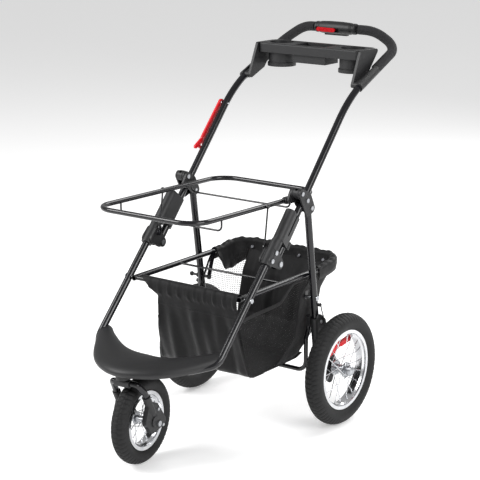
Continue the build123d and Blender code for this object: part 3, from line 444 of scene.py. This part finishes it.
def front_and_floor():
    """Strip across x from edge to edge, along the drop outline; folds run down it as sines of x."""
    drop = resample(FRONT_DROP, 150)
    across = np.linspace(0.0, 1.0, 121)[:, None]
    z = drop[None, :, 1]
    on_floor = np.clip((drop[None, :, 0] + 0.292) / 0.03, 0.0, 1.0)
    left = np.interp(z, LEFT_EDGE[:, 0], LEFT_EDGE[:, 1]) * (1 - on_floor) - 0.150 * on_floor
    right = np.interp(z, RIGHT_EDGE[:, 0], RIGHT_EDGE[:, 1])
    x = left + (right - left) * across
    hang = np.clip((HEM_SEAM_Z - z) / 0.05, 0.0, 1.0) * np.clip((z - 0.183) / 0.02, 0.0, 1.0)
    fold = 0.0050 * np.sin(47 * x + 9 * z) + 0.0034 * np.sin(91 * x - 14 * z + 1.0)
    fold = fold + 0.0020 * np.sin(160 * x + 2.0)
    band = np.clip((z - HEM_SEAM_Z) / 0.010, 0.0, 1.0) * (drop[None, :, 0] < BAR_AXIS[0])
    gather = (0.0018 * np.sin(210 * x + 40 * z) + 0.0012 * np.sin(390 * x)) * band
    y = drop[None, :, 0] + fold * hang - 0.004 * hang + np.minimum(gather, 0.0006)
    sag = -0.003 * np.sin(np.pi * across) * on_floor
    return np.stack([x, y + AXLE_Y, z + sag], -1)


def corner_path(count, side_left, side_right, rear, corner, front_left, front_right):
    """Plan path round the back: side, quarter circle, back, quarter circle, side, as (count, rows, 2).
    Each row has its own half widths, rear line, corner radius and front ends."""
    stops = np.linspace(0.0, 1.0, count)[:, None]
    turn = np.linspace(0.0, np.pi / 2, 9)[:, None]
    first_x = -side_left + corner - corner * np.cos(turn)
    first_y = rear - corner + corner * np.sin(turn)
    second_x = side_right - corner + corner * np.sin(turn)
    second_y = rear - corner + corner * np.cos(turn)
    xs = np.concatenate([-side_left[None, :], first_x, second_x, side_right[None, :]])
    ys = np.concatenate([front_left[None, :], first_y, second_y, front_right[None, :]])
    steps = np.hypot(np.diff(xs, axis=0), np.diff(ys, axis=0))
    length = np.concatenate([np.zeros((1, xs.shape[1])), steps.cumsum(0)])
    rows = []
    for row in range(xs.shape[1]):
        where = stops[:, 0] * length[-1, row]
        rows.append(np.stack([np.interp(where, length[:, row], xs[:, row]),
                              np.interp(where, length[:, row], ys[:, row])], -1))
    return np.stack(rows, 1)


WALL = np.array([      # height, half width, rear line, corner radius
    (0.184, 0.148, -0.058, 0.035), (0.196, 0.152, -0.036, 0.040), (0.245, 0.157, 0.026, 0.045),
    (0.294, 0.159, 0.035, 0.045), (0.360, 0.163, 0.055, 0.050), (0.400, 0.172, 0.092, 0.058),
    (0.426, 0.1790, 0.1205, 0.0675),
])
NEAR_WING = 0.080
FAR_SEAM = 37             # column of the wall's grid where the net ends and the cloth begins
FAR_WING = 0.055


def wall_at(z):
    return [np.interp(z, WALL[:, 0], WALL[:, i]) for i in (1, 2, 3)]


def rear_wall():
    """Plan path round the back corners at each height, wider and further back towards the hoop."""
    z = np.linspace(WALL[0, 0], WALL[-1, 0], 44)
    half, rear, corner = wall_at(z)
    plan = corner_path(150, half, half, rear, corner, rear - corner - FAR_WING, rear - corner - NEAR_WING)
    across = np.linspace(0.0, 1.0, 150)[:, None]
    hang = np.sin(np.pi * np.clip((z - 0.186) / 0.235, 0.0, 1.0))[None, :]
    fold = 0.0045 * np.sin(38 * across + 8 * z[None, :]) + 0.0025 * np.sin(83 * across + 1.3)
    y = plan[..., 1] + fold * hang
    x = plan[..., 0] * (1 + 0.010 * hang * np.sin(25 * across))
    return np.stack([x, y + AXLE_Y, np.broadcast_to(z[None, :], y.shape)], -1)


def smooth(value):
    value = np.clip(value, 0.0, 1.0)
    return value * value * (3 - 2 * value)


def net_side(sign, low, low_slope, rise_from, rise_to, wing):
    """Panel from the front cloth's edge to the rear wall's, its top a low hem that climbs to the rail."""
    run = np.linspace(0.0, 1.0, 80)[:, None]
    climb = np.linspace(0.0, 1.0, 50)[None, :]
    guess = -0.335 + run * 0.33
    climbed = smooth((guess - rise_from) / (rise_to - rise_from))
    top = low + low_slope * run + (0.4085 - low - low_slope) * climbed
    z = 0.1845 + (top - 0.1845) * climb
    half, rear, corner = wall_at(z)
    edge = LEFT_EDGE if sign < 0 else RIGHT_EDGE
    x_front = np.abs(np.interp(z, edge[:, 0], edge[:, 1]))
    y_front = front_y(z)
    y_rear = rear - corner - wing
    y = y_front + (y_rear - y_front) * run
    bulge = 0.006 * np.sin(np.pi * run) * np.sin(np.pi * climb)
    x = x_front + (half - x_front) * smooth(run * 1.3) + bulge + 0.002 * np.sin(30 * y + 20 * z)
    return np.stack([sign * x, y + AXLE_Y, z], -1)


def flap_over_hoop():
    """Hoop's plan path with a hooked section: up outside, over the rod, down inside, its edge wavy."""
    over = np.radians(np.linspace(-8.0, 188.0, 16))
    inside = [-0.0110, -0.0130, -0.0146, -0.0158, -0.0150]
    out = np.concatenate([[0.0070, 0.0096], 0.0096 * np.cos(over), inside])
    up = np.concatenate([[-0.026, -0.012], 0.0098 * np.sin(over), [-0.012, -0.023, -0.034, -0.044, -0.052]])
    count = 220
    side = HOOP_SIDE + out
    rear = HOOP_REAR - AXLE_Y + out
    front = np.full_like(out, -0.012)
    plan = corner_path(count, side, side, rear, HOOP_CORNER + out, front, front)
    across = np.linspace(0.0, 1.0, count)[:, None]
    depth = np.clip(-up[None, :] / 0.052, 0.0, 1.0) * (out[None, :] < 0)
    wave = 0.0045 * np.sin(46 * across) + 0.003 * np.sin(101 * across + 0.7)
    lift = 0.006 * np.sin(33 * across + 0.4) * depth
    centre_z = RAIL_Z + (0.428 - RAIL_Z) * smooth((plan[..., 1] + 0.01) / 0.11)
    puff = 1.0 + (0.14 * np.sin(70 * across) + 0.10 * np.sin(153 * across + 1.0)) * (out[None, :] > -0.010)
    ends = 0.3 + 0.7 * smooth(across / 0.07) * smooth((1 - across) / 0.07)
    puff = np.where(out[None, :] < -0.0105, (1.22 - 0.42 * across) * ends, puff)
    puff = np.where((out[None, :] > 0) & (up[None, :] < -0.005), 1.0, puff)
    y = plan[..., 1] - np.sign(across) * wave * depth      # the first row keeps to the hoop
    return np.stack([plan[..., 0] - np.sign(plan[..., 0]) * 0.5 * wave * depth, y + AXLE_Y,
                     centre_z + up[None, :] * puff + lift], -1)


def cloth(name, points, material, thickness, flip=False):
    """One sewn cloth: a thickened grid that rides on the basket frame."""
    piece = surface(name, points, flip=flip)
    piece.data.materials.append(material)
    if thickness:
        wall = piece.modifiers.new("thickness", "SOLIDIFY")
        wall.thickness = thickness
        wall.offset = 0.0
    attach(piece, "basket_frame")
    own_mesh(piece)
    return piece


near_net = net_side(1, 0.352, 0.014, -0.125, -0.075, NEAR_WING)
far_net = net_side(-1, 0.336, -0.006, -0.050, -0.004, FAR_WING)
strip = cloth("front_and_floor_cloth", front_and_floor(), oxford, 0.0010)
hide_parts("basket")
wall_points = rear_wall()
cloth("rear_wall_cloth", wall_points[FAR_SEAM:], oxford, 0.0010)
cloth("far_corner_net", wall_points[:FAR_SEAM + 1], net, 0.0)
cloth("side_net_right", near_net, net, 0.0)
cloth("side_net_left", far_net, net, 0.0, flip=True)
cloth("hoop_flap", flap_over_hoop(), oxford, 0.0014)

# ---- hem tapes -----------------------------------------------------------------------
# Polyester grosgrain binding folded over each raw edge: along the net's scooped
# hems, down the front corners, and the stitched line under the front hem.


def tape_along(line, width, outward):
    """Flat oval section, width by 1.8 mm, carried along a line of points; outward is its thin axis."""
    ahead = np.gradient(line, axis=0)
    ahead /= np.linalg.norm(ahead, axis=1)[:, None]
    flat = np.cross(ahead, np.array(outward, float))
    flat /= np.linalg.norm(flat, axis=1)[:, None]
    thin = np.cross(flat, ahead)
    angle = np.linspace(0.0, 2 * np.pi, 12, endpoint=False)
    ring = flat[:, None, :] * (width / 2 * np.cos(angle))[None, :, None]
    ring = ring + thin[:, None, :] * (0.0009 * np.sin(angle))[None, :, None]
    return line[:, None, :] + ring


def add_tape(name, line, width, outward):
    points = tape_along(line, width, outward)
    first = np.repeat(points[:1].mean(1, keepdims=True), points.shape[1], axis=1)
    last = np.repeat(points[-1:].mean(1, keepdims=True), points.shape[1], axis=1)
    piece = surface(name, np.concatenate([first, points, last]), wrap_v=True)
    piece.data.materials.append(oxford)
    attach(piece, "basket_frame")
    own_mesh(piece)


strip_points = front_and_floor()
add_tape("near_hem_tape", near_net[:, -1], 0.010, (1, 0, 0))
add_tape("far_hem_tape", far_net[:, -1], 0.010, (1, 0, 0))
add_tape("near_corner_tape", strip_points[-1, 40:100], 0.006, (0, 1, 0))
add_tape("far_corner_tape", strip_points[0, 40:100], 0.006, (0, 1, 0))
seam_column = int(np.argmin(np.abs(strip_points[0, 30:70, 2] - HEM_SEAM_Z))) + 30
add_tape("front_hem_seam", strip_points[:, seam_column] + np.array([0.0, -0.0008, 0.0]), 0.003, (0, 1, 0))
add_tape("far_wall_seam", wall_points[FAR_SEAM, :-3], 0.006, (0, 1, 0))
